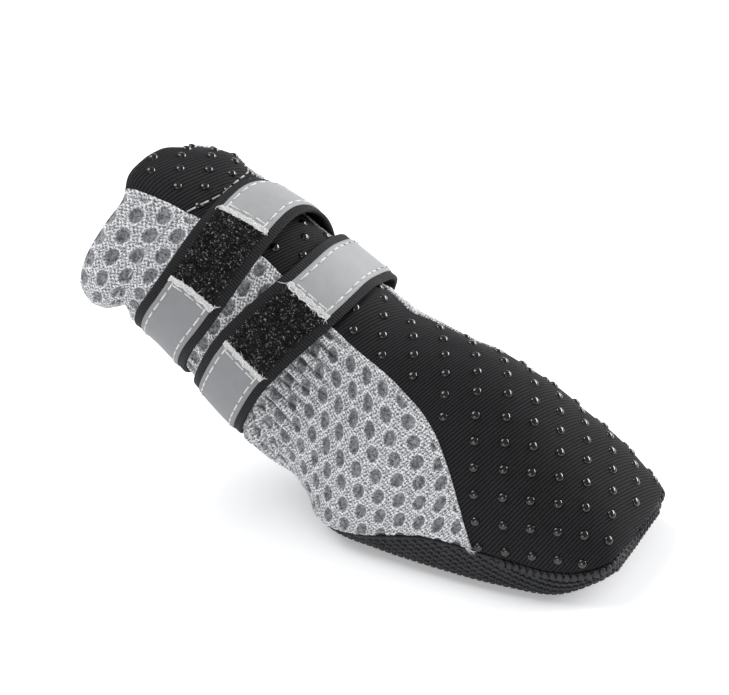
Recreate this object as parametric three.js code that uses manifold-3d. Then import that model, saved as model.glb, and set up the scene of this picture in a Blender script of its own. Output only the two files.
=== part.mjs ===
// Dog boot: rubber sole, insole, one fabric tube for toe box and shaft, two straps. Millimetres.
// +X to the toe, +Z up, the sole's flat underside on Z = 0.
import * as THREE from 'three';
import { mergeVertices } from 'three/addons/utils/BufferGeometryUtils.js';
import Module from 'manifold-3d';

const wasm = await Module();
wasm.setup();

// driving sizes
const upperWall = 1.8;
const soleWall = 2.2;
const soleFloor = 3.0;        // rubber under the foot
const insoleThickness = 2.0;
const pieceGap = 0.3;         // between pieces that touch in the real boot
const strapWidth = 20.5;
const strapThickness = 1.5;
const strapGap = 0.35;

// facet counts
const ringSteps = 40;
const lengthSteps = 38;
const strapSteps = 54;
const strapRows = 3;

// The boot's form: one section per row, toe first, then round the heel and up the shaft.
// Each section lies in the plane through its top (front) point and its low (back) point.
const columns = ['topX', 'topZ', 'lowX', 'lowZ', 'half', 'widest', 'roundTop', 'roundLow'];
const sections = [
  [54.7, 10.2, 53.1, 7.1, 14.7, 0.50, 2.3, 2.5],
  [53.7, 18.8, 48.5, 4.5, 22.3, 0.36, 2.3, 3.0],
  [45.4, 28.6, 37.5, -1.0, 26.8, 0.28, 2.3, 3.8],
  [32.2, 39.2, 20.6, -1.0, 30.1, 0.24, 2.2, 4.2],
  [20.2, 48.6, 2.7, -1.0, 31.2, 0.22, 2.1, 4.2],
  [6.7, 55.2, -18.2, -1.0, 31.5, 0.24, 2.1, 4.0],
  [-10.4, 58.6, -36.9, -1.0, 31.1, 0.32, 2.1, 3.2],
  [-27.8, 64.3, -52.1, 9.0, 29.6, 0.44, 2.0, 2.3],
  [-44.7, 74.0, -75.8, 23.8, 29.3, 0.50, 2.0, 2.0],
  [-67.1, 88.6, -99.0, 46.4, 29.0, 0.50, 2.0, 2.0],
  [-100.8, 99.1, -118.5, 55.6, 32.2, 0.50, 2.0, 2.0],
];
const collarStation = sections.length - 1;

// Top edge of the rubber, seen from the side.
const seamColumns = ['x', 'z'];
const seam = [
  [-70, 5.0],
  [-45, 5.0],
  [-30, 5.6],
  [-21, 7.0],
  [-10, 10.8],
  [-2, 13.2],
  [7, 13.6],
  [16, 13.2],
  [28, 12.0],
  [36, 10.8],
  [44, 10.8],
  [50, 12.4],
  [58, 14.6],
];

// Straps: station of the lower edge at the front, far side, near side and back of the shaft.
// Each strap arches off the front of the shaft, by slackLow mm at its lower edge and
// slackHigh mm at its upper edge, within `reach` degrees of `centre`.
const straps = {
  strap_lower: {
    edge: { front: 7.41, far: 7.33, near: 7.71, back: 7.70 },
    slack: { slackLow: 3.7, slackHigh: 2.5, centre: 34, reach: 34 },
  },
  strap_upper: {
    edge: { front: 8.71, far: 8.16, near: 8.56, back: 8.44 },
    slack: { slackLow: 3.6, slackHigh: 0, centre: 83, reach: 70 },
  },
};
const strapStart = -50;       // degrees; 0 is the far side, 90 the front, 180 the near side
const strapEnd = 360;
const overlapRise = 25;       // degrees over which the free end climbs onto the strap under it

function cubic(p0, p1, p2, p3, f) {
  const startSlope = (p2 - p0) / 2;
  const endSlope = (p3 - p1) / 2;
  const f2 = f * f;
  const f3 = f2 * f;
  return (2 * f3 - 3 * f2 + 1) * p1 + (f3 - 2 * f2 + f) * startSlope
    + (3 * f2 - 2 * f3) * p2 + (f3 - f2) * endSlope;
}

function sectionValue(station, name) {
  const column = columns.indexOf(name);
  const last = sections.length - 1;
  const i = Math.min(Math.max(Math.floor(station), 0), last - 1);
  const p1 = sections[i][column];
  const p2 = sections[i + 1][column];
  const p0 = i > 0 ? sections[i - 1][column] : 2 * p1 - p2;
  const p3 = i < last - 1 ? sections[i + 2][column] : 2 * p2 - p1;
  return cubic(p0, p1, p2, p3, station - i);
}

function signedPower(value, power) {
  return Math.sign(value) * Math.pow(Math.abs(value), power);
}

// Point of the form moved inwards by `inset`, and by `insetLow` at the underside.
function formPoint(station, angle, inset = 0, insetLow = inset) {
  const v = {};
  for (const name of columns) {
    v[name] = sectionValue(station, name);
  }
  const across = Math.cos(angle);
  const along = Math.sin(angle);
  const isTop = along >= 0;
  const round = isTop ? v.roundTop : v.roundLow;
  const height = Math.hypot(v.topX - v.lowX, v.topZ - v.lowZ);
  const dirX = (v.topX - v.lowX) / height;
  const dirZ = (v.topZ - v.lowZ) / height;
  const middle = v.widest * height;
  const reach = isTop
    ? Math.max(height - middle - inset, 0.4)
    : Math.max(middle - insetLow, 0.4);
  const s = middle + signedPower(along, 2 / round) * reach;
  const toeInset = inset * Math.max(0, 1 - station / 2.5);
  const x = v.lowX + dirX * s - toeInset;
  const y = Math.max(v.half - inset, 1) * signedPower(across, 2 / round);
  const z = Math.max(v.lowZ + dirZ * s, insetLow > 0 ? insetLow : 0);
  return new THREE.Vector3(x, y, z);
}

function formNormal(station, angle) {
  const step = 0.02;
  const along = formPoint(station + step, angle).sub(formPoint(station - step, angle));
  const round = formPoint(station, angle + step).sub(formPoint(station, angle - step));
  return along.cross(round).normalize();
}

function solidFrom(points, faces) {
  const geometry = new THREE.BufferGeometry();
  geometry.setAttribute('position', new THREE.Float32BufferAttribute(points, 3));
  geometry.setIndex(faces);
  return toManifold(geometry);
}

function toManifold(geometry) {
  geometry.deleteAttribute('normal');
  geometry.deleteAttribute('uv');
  const merged = mergeVertices(geometry, 1e-5);
  const mesh = new wasm.Mesh({
    numProp: 3,
    vertProperties: Float32Array.from(merged.attributes.position.array),
    triVerts: Uint32Array.from(merged.index.array),
  });
  return new wasm.Manifold(mesh);
}

// Closed body through rings of equal length, each end closed by a fan.
function loft(rings) {
  const points = [];
  const faces = [];
  const count = rings[0].length;
  for (const ring of rings) {
    for (const p of ring) {
      points.push(p.x, p.y, p.z);
    }
  }
  for (let i = 0; i < rings.length - 1; i += 1) {
    for (let j = 0; j < count; j += 1) {
      const k = (j + 1) % count;
      const a = i * count + j;
      const b = i * count + k;
      const c = a + count;
      const d = b + count;
      faces.push(a, c, b, b, c, d);
    }
  }
  const ends = [{ ring: 0, turn: false }, { ring: rings.length - 1, turn: true }];
  for (const end of ends) {
    const centre = new THREE.Vector3();
    for (const p of rings[end.ring]) {
      centre.addScaledVector(p, 1 / count);
    }
    const tip = points.length / 3;
    points.push(centre.x, centre.y, centre.z);
    for (let j = 0; j < count; j += 1) {
      const a = end.ring * count + j;
      const b = end.ring * count + (j + 1) % count;
      if (end.turn) {
        faces.push(tip, b, a);
      } else {
        faces.push(tip, a, b);
      }
    }
  }
  return solidFrom(points, faces);
}

function formBody(inset, insetLow, lastStation) {
  const rings = [];
  for (let i = 0; i <= lengthSteps; i += 1) {
    const station = (lastStation * i) / lengthSteps;
    const ring = [];
    for (let j = 0; j < ringSteps; j += 1) {
      ring.push(formPoint(station, (2 * Math.PI * j) / ringSteps, inset, insetLow));
    }
    rings.push(ring);
  }
  return loft(rings);
}

// Everything below a line z(x), across the whole width.
function blockBelow(line) {
  const side = 60;
  const bottom = -20;
  const rings = line.map(([x, z]) => [
    new THREE.Vector3(x, side, bottom),
    new THREE.Vector3(x, side, z),
    new THREE.Vector3(x, -side, z),
    new THREE.Vector3(x, -side, bottom),
  ]);
  return loft(rings.reverse());
}

function seamLine(lift) {
  const x = seamColumns.indexOf('x');
  const z = seamColumns.indexOf('z');
  return seam.map((row) => [row[x], row[z] + lift]);
}

function bump(degrees, centre, reach) {
  const turned = ((degrees - centre + 540) % 360) - 180;
  const share = Math.min(Math.abs(turned) / reach, 1);
  return Math.cos((share * Math.PI) / 2) ** 2;
}

function smoothStep(from, to, value) {
  const f = Math.min(Math.max((value - from) / (to - from), 0), 1);
  return f * f * (3 - 2 * f);
}

// Station `distance` mm further up the shaft than `station`, measured on the surface.
function stationAfter(station, angle, distance) {
  const step = 0.01;
  let s = station;
  let walked = 0;
  let here = formPoint(s, angle);
  while (walked < distance) {
    const next = formPoint(s + step, angle);
    walked += next.distanceTo(here);
    here = next;
    s += step;
  }
  return s;
}

function edgeStation({ front, far, near, back }, angle) {
  const across = Math.max(Math.cos(angle), 0);
  const along = Math.sin(angle);
  return near + across * across * (far - near)
    + along * along * ((along > 0 ? front : back) - near);
}

// One long band round the shaft whose free end lies on its own beginning.
function strapBody({ edge, slack }) {
  const rings = [];
  for (let i = 0; i <= strapSteps; i += 1) {
    const degrees = strapStart + ((strapEnd - strapStart) * i) / strapSteps;
    const angle = THREE.MathUtils.degToRad(degrees);
    const low = edgeStation(edge, angle);
    const high = stationAfter(low, angle, strapWidth);
    const overlapFrom = strapStart + 360 - overlapRise;
    const climb = smoothStep(overlapFrom, overlapFrom + overlapRise, degrees);
    const arch = bump(degrees, slack.centre, slack.reach);
    const inner = [];
    const outer = [];
    for (let j = 0; j <= strapRows; j += 1) {
      const share = j / strapRows;
      const station = low + (high - low) * share;
      const standOff = strapGap + climb * (strapThickness + pieceGap)
        + arch * (slack.slackLow + (slack.slackHigh - slack.slackLow) * share);
      const at = formPoint(station, angle);
      const out = formNormal(station, angle);
      inner.push(at.clone().addScaledVector(out, standOff));
      outer.push(at.clone().addScaledVector(out, standOff + strapThickness));
    }
    rings.push([...inner, ...outer.reverse()]);
  }
  return loft(rings);
}

function addPiece(group, name, body, color, roughness) {
  const mesh = body.getMesh();
  const geometry = new THREE.BufferGeometry();
  const position = new THREE.Float32BufferAttribute(mesh.vertProperties, 3);
  geometry.setAttribute('position', position);
  geometry.setIndex(new THREE.Uint32BufferAttribute(mesh.triVerts, 1));
  geometry.computeVertexNormals();
  const material = new THREE.MeshStandardMaterial({ color, roughness, metalness: 0 });
  const piece = new THREE.Mesh(geometry, material);
  piece.name = name;
  group.add(piece);
}

const boot = new THREE.Group();
boot.name = 'dog_boot';

const outside = formBody(0, 0, collarStation);
const soleHollow = formBody(soleWall, soleFloor, collarStation);
const upperHollow = formBody(upperWall, upperWall, collarStation + 0.3);
const belowSeam = blockBelow(seamLine(0));
const belowUpper = blockBelow(seamLine(pieceGap));

const sole = outside.intersect(belowSeam).subtract(soleHollow);
const upper = outside.subtract(upperHollow).subtract(belowUpper);

const insoleTop = soleFloor + pieceGap + insoleThickness;
const insoleBlock = blockBelow([[-70, insoleTop], [58, insoleTop]]);
const insole = formBody(soleWall + pieceGap, soleFloor + pieceGap, collarStation)
  .intersect(insoleBlock);

addPiece(boot, 'sole', sole, 0x1b1c1f, 0.55);
addPiece(boot, 'insole', insole, 0x3a3b3f, 0.9);
addPiece(boot, 'upper', upper, 0x232428, 0.85);
for (const [name, place] of Object.entries(straps)) {
  addPiece(boot, name, strapBody(place), 0x141416, 0.9);
}

export default boot;
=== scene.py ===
import math

import bmesh
import bpy
import numpy as np
from mathutils import Matrix, Vector


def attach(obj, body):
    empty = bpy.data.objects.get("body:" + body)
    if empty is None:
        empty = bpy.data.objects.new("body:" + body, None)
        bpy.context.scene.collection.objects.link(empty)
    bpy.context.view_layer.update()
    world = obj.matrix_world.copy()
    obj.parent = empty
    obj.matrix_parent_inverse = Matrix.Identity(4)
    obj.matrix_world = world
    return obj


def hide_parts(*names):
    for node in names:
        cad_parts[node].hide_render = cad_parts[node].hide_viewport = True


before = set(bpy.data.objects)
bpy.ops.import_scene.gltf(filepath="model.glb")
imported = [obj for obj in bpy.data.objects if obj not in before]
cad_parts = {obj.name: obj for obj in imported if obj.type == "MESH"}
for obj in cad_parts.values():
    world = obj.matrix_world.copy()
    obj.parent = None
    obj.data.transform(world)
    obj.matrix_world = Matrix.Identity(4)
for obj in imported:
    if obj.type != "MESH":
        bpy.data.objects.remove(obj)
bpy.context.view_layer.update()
print("frame loaded")

mm = 0.001


# the boot's form, in millimetres, as the solids have it

# a row for each station: topX, topZ, lowX, lowZ, half, widest, roundTop, roundLow
formRows = np.array([
    [54.7, 10.2, 53.1, 7.1, 14.7, 0.50, 2.3, 2.5],
    [53.7, 18.8, 48.5, 4.5, 22.3, 0.36, 2.3, 3.0],
    [45.4, 28.6, 37.5, -1.0, 26.8, 0.28, 2.3, 3.8],
    [32.2, 39.2, 20.6, -1.0, 30.1, 0.24, 2.2, 4.2],
    [20.2, 48.6, 2.7, -1.0, 31.2, 0.22, 2.1, 4.2],
    [6.7, 55.2, -18.2, -1.0, 31.5, 0.24, 2.1, 4.0],
    [-10.4, 58.6, -36.9, -1.0, 31.1, 0.32, 2.1, 3.2],
    [-27.8, 64.3, -52.1, 9.0, 29.6, 0.44, 2.0, 2.3],
    [-44.7, 74.0, -75.8, 23.8, 29.3, 0.50, 2.0, 2.0],
    [-67.1, 88.6, -99.0, 46.4, 29.0, 0.50, 2.0, 2.0],
    [-100.8, 99.1, -118.5, 55.6, 32.2, 0.50, 2.0, 2.0],
])
collar = len(formRows) - 1.0
wall = 1.8
leastReach, leastHalf = 0.4, 1.0     # where insets would turn a section inside out
toeStations = 2.5                    # stations over which an inset also shortens the toe

# top edge of the rubber: x, z
seamRows = np.array([
    [-70, 5.0], [-45, 5.0], [-30, 5.6], [-21, 7.0], [-10, 10.8], [-2, 13.2], [7, 13.6],
    [16, 13.2], [28, 12.0], [36, 10.8], [44, 10.8], [50, 12.4], [58, 14.6],
])

# where the dotted front panel ends on the near side: station, degrees (90 front, 180 near side)
borderRows = np.array([
    [3.50, 177], [3.60, 173], [3.83, 165], [4.33, 150], [4.83, 139], [5.33, 130], [5.90, 123],
    [6.40, 120], [7.40, 119], [8.65, 114], [9.40, 117], [9.70, 117], [10.3, 119],
])
panelTip = 3.52      # station of the mesh's point at the sole


def spline(rows, station):
    station = np.asarray(station, float)
    last = len(rows) - 1
    i = np.clip(np.floor(station).astype(int), 0, last - 1)
    f = (station - i)[..., None]
    padded = np.vstack([2 * rows[0] - rows[1], rows, 2 * rows[-1] - rows[-2]])
    p0, p1, p2, p3 = padded[i], padded[i + 1], padded[i + 2], padded[i + 3]
    a, b = (p2 - p0) / 2, (p3 - p1) / 2
    return ((2 * f**3 - 3 * f**2 + 1) * p1 + (f**3 - 2 * f**2 + f) * a
            + (3 * f**2 - 2 * f**3) * p2 + (f**3 - f**2) * b)


def formPoint(station, angle, inset=0.0, insetLow=None):
    station, angle, inset = np.broadcast_arrays(
        np.asarray(station, float), np.asarray(angle, float), np.asarray(inset, float))
    insetLow = inset if insetLow is None else insetLow
    v = spline(formRows, station)
    topX, topZ, lowX, lowZ, half, widest, roundTop, roundLow = np.moveaxis(v, -1, 0)
    c, s = np.cos(angle), np.sin(angle)
    up = s >= 0
    power = 2 / np.where(up, roundTop, roundLow)
    height = np.hypot(topX - lowX, topZ - lowZ)
    dirX, dirZ = (topX - lowX) / height, (topZ - lowZ) / height
    middle = widest * height
    reach = np.where(up, height - middle - inset, middle - insetLow)
    reach = np.maximum(reach, leastReach)
    along = middle + np.sign(s) * np.abs(s) ** power * reach
    toe = inset * np.clip(1 - station / toeStations, 0, None)
    x = lowX + dirX * along - toe
    y = np.maximum(half - inset, leastHalf) * np.sign(c) * np.abs(c) ** power
    z = np.maximum(lowZ + dirZ * along, np.maximum(insetLow, 0))
    return np.stack([x, y, z], -1)


def smoothStep(low, high, value):
    f = np.clip((value - low) / (high - low), 0, 1)
    return f * f * (3 - 2 * f)


# distance along a line of points, from its first one
def arcLength(points):
    return np.concatenate([[0], np.cumsum(np.linalg.norm(np.diff(points, axis=0), axis=1))])


# points of a line at given distances along it
def readOff(at, arc, points):
    return np.stack([np.interp(at, arc, points[:, i]) for i in range(3)], 1)


def unit(vectors):
    return vectors / np.maximum(np.linalg.norm(vectors, axis=-1, keepdims=True), 1e-9)


# spans of evenly spaced stations joined end to end: first, last, count
def joined(*spans):
    parts = [np.linspace(*span) for span in spans]
    return np.concatenate([part[:-1] for part in parts[:-1]] + parts[-1:])


# degrees from a centre, between -180 and 180
def turnFrom(centre, degrees):
    return (degrees - centre + 540) % 360 - 180


denseAngles = np.radians(np.linspace(90, 270, 1801))


# near-side angle at which the form meets the line `lift` above the rubber's top edge
def seamAngle(stations, lift):
    found = []
    for station in stations:
        p = formPoint(station, denseAngles)
        above = p[:, 2] - np.interp(p[:, 0], seamRows[:, 0], seamRows[:, 1]) - lift
        over = np.nonzero(above > 0)[0]
        if len(over) == 0:
            found.append(denseAngles[0])
        elif over[-1] == len(denseAngles) - 1:
            found.append(denseAngles[-1])
        else:
            i = over[-1]
            share = above[i] / (above[i] - above[i + 1])
            found.append(denseAngles[i] + share * (denseAngles[i + 1] - denseAngles[i]))
    return np.array(found)


# angles evenly spaced on the surface between two near-side angles, and their distance from
# the side line; one row for each station
def spacedAngles(stations, start, end, columns):
    angles = np.zeros((len(stations), columns))
    fromSide = np.zeros((len(stations), columns))
    share = np.linspace(0, 1, columns)
    side = len(denseAngles) // 2
    for i, station in enumerate(stations):
        p = formPoint(station, denseAngles)
        arc = arcLength(p)
        a, b = np.interp([start[i], end[i]], denseAngles, arc)
        at = a + (b - a) * share
        angles[i] = np.interp(at, arc, denseAngles)
        fromSide[i] = at - arc[side]
    return angles, fromSide


def otherSide(angles):
    return math.pi - angles


# outward normal of the form, from the form itself
def formNormal(station, angle):
    d = 0.012
    along = formPoint(station + d, angle) - formPoint(station - d, angle)
    across = formPoint(station, angle + d) - formPoint(station, angle - d)
    return unit(np.cross(along, across))


# straps

strapSizes = {"width": 20.5, "thickness": 1.5, "gap": 0.35, "start": -50.0, "end": 360.0,
              "overlapRise": 25.0}
degreeLength = 0.52      # millimetres round a strap for each degree

# stations of the lower edge, how many stations the width takes, and how far the strap arches off
# the front of the shaft (mm at its lower and upper edge, round `centre` degrees)
strapPlaces = {
    "strap_lower": {"front": 7.41, "far": 7.33, "near": 7.71, "back": 7.70, "frontSpan": 0.89,
                    "sideSpan": 0.76, "backSpan": 0.67, "slackLow": 3.7, "slackHigh": 2.5,
                    "centre": 34.0, "reach": 34.0},
    "strap_upper": {"front": 8.71, "far": 8.16, "near": 8.56, "back": 8.44, "frontSpan": 0.64,
                    "sideSpan": 0.68, "backSpan": 0.64, "slackLow": 3.6, "slackHigh": 0.0,
                    "centre": 83.0, "reach": 70.0},
}


def strapLow(place, angle):
    across, along = np.maximum(np.cos(angle), 0), np.sin(angle)
    end = np.where(along > 0, place["front"], place["back"])
    return (place["near"] + across**2 * (place["far"] - place["near"])
            + along**2 * (end - place["near"]))


def strapSpan(place, angle):
    t = np.sin(angle)
    end = np.where(t > 0, place["frontSpan"], place["backSpan"])
    return place["sideSpan"] + t * t * (end - place["sideSpan"])


# stations `distances` mm up the shaft from `low`, along one angle
def stationsAfter(low, angle, distances):
    dense = np.linspace(low - 0.3, low + 1.5, 181)
    p = formPoint(dense, angle)
    arc = arcLength(p)
    arc -= np.interp(low, dense, arc)
    return np.interp(distances, arc, dense)


# how far a strap's inner face stands off the form, `share` of the way across it
def standOff(place, degrees, share):
    rise = strapSizes["start"] + 360 - strapSizes["overlapRise"]
    climb = smoothStep(rise, rise + strapSizes["overlapRise"], degrees)
    turned = turnFrom(place["centre"], degrees)
    arch = np.cos(np.minimum(np.abs(turned) / place["reach"], 1) * math.pi / 2) ** 2
    slack = place["slackLow"] + (place["slackHigh"] - place["slackLow"]) * share
    return strapSizes["gap"] + climb * (strapSizes["thickness"] + 0.3) + arch * slack


# points on a strap: degrees round it, millimetres across it from its lower edge, lift off its inner face
def strapPoints(place, degrees, across, lift):
    p, n, off = [], [], []
    for d in degrees:
        angle = math.radians(d)
        station = stationsAfter(float(strapLow(place, angle)), angle, across)
        p.append(formPoint(station, angle))
        n.append(formNormal(station, np.full_like(station, angle)))
        off.append(standOff(place, d, across / strapSizes["width"]))
    p, n, off = np.array(p), np.array(n), np.array(off) + lift
    return p + n * off[..., None], n


# soft shape: folds and pleats laid over the form

# station, degrees, reach in stations, reach in degrees, lean in degrees a station, height
folds = [
    (6.95, 215, 0.22, 34, -20, -1.5),
    (6.95, 325, 0.22, 34, 20, -1.5),
    (6.42, 222, 0.30, 30, 0, -2.6),
    (6.42, 318, 0.30, 30, 0, -2.6),
    (7.30, 96, 0.16, 26, 30, 1.0),
    (6.75, 84, 0.20, 30, 25, -0.9),
    (5.90, 128, 0.55, 10, 22, -0.7),
    (5.60, 60, 0.60, 12, -22, -0.7),
    (4.60, 100, 0.50, 22, 10, 0.5),
    (3.20, 75, 0.35, 24, 0, -0.4),
    (9.72, 205, 0.20, 24, 0, 2.2),
    (9.43, 225, 0.10, 40, 0, -2.4),
    (9.74, 248, 0.18, 12, 20, -1.2),
    (9.72, 300, 0.22, 30, 0, 1.6),
    (9.76, 158, 0.22, 13, -25, -1.3),
    (9.70, 128, 0.22, 9, 0, -1.5),
    (9.60, 66, 0.22, 30, 0, 3.4),
    (9.72, 104, 0.20, 18, 0, 1.4),
]
pleats = {"edge": 7.68, "reach": 0.95, "count": 62, "height": 1.7}
puckers = {"edge": 9.30, "reach": 0.20, "count": 19, "height": 0.7}
hem = {"station": 9.52, "dip": 0.15, "centre": 78, "from": 12, "to": 52, "groove": 0.55, "soft": 0.045,
       "length": 2.9, "gap": 1.5, "thick": 0.27}
swell = {"long": 0.16, "short": 0.12}      # slow waves over all the cloth


# station of the stitched hem below the collar; it dips in front
def hemLine(angle):
    turn = np.abs(turnFrom(hem["centre"], np.degrees(angle)))
    return hem["station"] - hem["dip"] * (1 - smoothStep(hem["from"], hem["to"], turn))


# the cloth rolls over towards the inside at the rim, and the front panel puffs up beyond it
rim = {"reach": 0.26, "depth": 3.0, "rise": 0.13, "centre": 93.0, "wide": 24.0}


def rimRise(station, angle):
    turn = turnFrom(rim["centre"], np.degrees(angle))
    return rim["rise"] * np.exp(-np.abs(turn / rim["wide"]) ** 4) * smoothStep(9.5, 10.0, station)


def rolled(station):
    d = np.clip((collar - station) / rim["reach"], 0, 1)
    return rim["depth"] * (1 - np.sqrt(1 - (1 - d) ** 2.6))


# keeps pleats from standing evenly
def wander(angle):
    return 0.9 * np.sin(3 * angle + 1.3) + 0.6 * np.sin(7 * angle + 0.4)


# -1 at the bottom of a pleat, 1 on the cloth between
def pleatHeight(station, angle):
    return 1 - 2 * np.abs(np.cos(pleats["count"] / 2 * angle + 1.6 * wander(angle) + 0.6 * station)) ** 3


def softShape(station, angle):
    degrees = np.degrees(angle) % 360
    total = -rolled(station) * (0.75 + 0.25 * np.sin(angle - 0.4))
    for at, centre, long, wide, lean, height in folds:
        past = station - at
        turn = turnFrom(centre, degrees - lean * past)
        total += height * np.exp(-(past / long) ** 2 - (turn / wide) ** 2)
    back = smoothStep(116, 128, degrees)
    back = np.where(degrees < 62, 1 - smoothStep(40, 62, degrees), back)
    below = np.clip((pleats["edge"] - station) / pleats["reach"], 0, 1)
    total += (pleats["height"] * back * np.where(station < pleats["edge"] + 0.1, (1 - below) ** 1.3, 0)
              * pleatHeight(station, angle))
    above = np.clip((station - puckers["edge"]) / puckers["reach"], 0, 1)
    pucker = np.cos(puckers["count"] * angle + 2.5 * wander(angle))
    total += (puckers["height"] * np.where(station > puckers["edge"] - 0.05, (1 - above), 0) * pucker
              * (0.35 + 0.65 * back))
    total -= hem["groove"] * np.exp(-((station - hemLine(angle)) / hem["soft"]) ** 2)
    total += (swell["long"] * np.sin(2.1 * station + 2 * angle)
              + swell["short"] * np.sin(4.3 * station - 3 * angle))
    for place in strapPlaces.values():
        low = strapLow(place, angle)
        high = low + strapSpan(place, angle)
        inside = (smoothStep(low - 0.08, low + 0.04, station)
                  * (1 - smoothStep(high - 0.04, high + 0.08, station)))
        total = total * (1 - inside) - 0.3 * inside
    return total


# meshes

def newObject(name, points, faces, smooth=True):
    mesh = bpy.data.meshes.new(name)
    points = np.ascontiguousarray(points, dtype=np.float32)
    faces = np.ascontiguousarray(faces, dtype=np.int32)
    mesh.vertices.add(len(points))
    mesh.vertices.foreach_set("co", points.ravel())
    corners = faces.shape[1]
    mesh.loops.add(faces.size)
    mesh.loops.foreach_set("vertex_index", faces.ravel())
    mesh.polygons.add(len(faces))
    mesh.polygons.foreach_set("loop_start", np.arange(0, faces.size, corners, dtype=np.int32))
    mesh.polygons.foreach_set("use_smooth", np.full(len(faces), smooth))
    mesh.update(calc_edges=True)
    obj = bpy.data.objects.new(name, mesh)
    bpy.context.scene.collection.objects.link(obj)
    return obj


def gridFaces(rows, columns, start, turn):
    i = np.arange(rows - 1)[:, None] * columns + np.arange(columns - 1)[None, :] + start
    quads = np.stack([i, i + columns, i + columns + 1, i + 1], -1).reshape(-1, 4)
    return quads[:, ::-1] if turn else quads


def grid(points, cloth, turn):
    return {"points": points, "cloth": cloth, "turn": turn}


# one row of faces between two lines of points
def strip(a, b, cloth, turn):
    return grid(np.stack([a, b]), np.stack([cloth, cloth]), turn)


weld = 0.004      # millimetres


# joins grids of points (millimetres), each point with its place in the cloth
def gridsObject(name, grids, material):
    points, faces, cloth, edge = [], [], [], []
    count = 0
    for g in grids:
        rows, columns = g["points"].shape[:2]
        points.append(g["points"].reshape(-1, 3) * mm)
        faces.append(gridFaces(rows, columns, count, g["turn"]))
        cloth.append(g["cloth"].reshape(-1, 2))
        edge.append(g.get("edge", np.zeros((rows, columns, 2))).reshape(-1, 2))
        count += rows * columns
    faces = np.vstack(faces)
    obj = newObject(name, np.vstack(points), faces)
    for label, values in (("cloth", np.vstack(cloth)), ("edge", np.vstack(edge))):
        layer = obj.data.uv_layers.new(name=label)
        layer.data.foreach_set("uv", values[faces.ravel()].astype(np.float32).ravel())
    obj.data.materials.append(material)
    tidy(obj, weld * mm)
    return obj


def tidy(obj, distance):
    b = bmesh.new()
    b.from_mesh(obj.data)
    bmesh.ops.remove_doubles(b, verts=b.verts, dist=distance)
    bmesh.ops.dissolve_degenerate(b, dist=distance * 0.5, edges=b.edges)
    b.to_mesh(obj.data)
    b.free()
    obj.data.update()


# an outer and an inner grid, closed by strips along the sides named; the columns only along `rows`
def shellGrids(outer, inner, cloth, turn=True, sides="first last left right", rows=slice(None)):
    lines = {"first": (0, turn), "last": (-1, not turn), "left": ((rows, 0), not turn),
             "right": ((rows, -1), turn)}
    grids = [grid(outer, cloth, turn), grid(inner, cloth, not turn)]
    for at, way in (lines[name] for name in sides.split()):
        grids.append(strip(inner[at], outer[at], cloth[at], way))
    return grids


# the near half as it is (1), or mirrored to the far side (-1)
def onSide(points, side):
    return points * np.array([1.0, side, 1.0])


def shellHalves(outer, inner, cloth, sides):
    return [g for side in (1, -1)
            for g in shellGrids(onSide(outer, side), onSide(inner, side), cloth, side < 0, sides)]


# materials

class Value:
    def __init__(self, shade, socket):
        self.shade, self.socket = shade, socket

    def math(self, operation, a, b=None):
        return self.shade.node("ShaderNodeMath", {"operation": operation},
                               {0: a} if b is None else {0: a, 1: b})

    def fract(self):
        return self.math("FRACT", self)

    def sine(self):
        return self.math("SINE", self)

    def power(self, other):
        return self.math("POWER", self, other)

    def least(self, other):
        return self.math("MINIMUM", self, other)

    def step(self, low, high):
        return self.shade.node("ShaderNodeMapRange", {"interpolation_type": "SMOOTHSTEP"},
                               {"Value": self, "From Min": low, "From Max": high})


# each operator and its reflected form
for short, operation in (("add", "ADD"), ("sub", "SUBTRACT"), ("mul", "MULTIPLY"), ("truediv", "DIVIDE")):
    setattr(Value, f"__{short}__", lambda a, b, kind=operation: a.math(kind, a, b))
    setattr(Value, f"__r{short}__", lambda a, b, kind=operation: a.math(kind, b, a))


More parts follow.
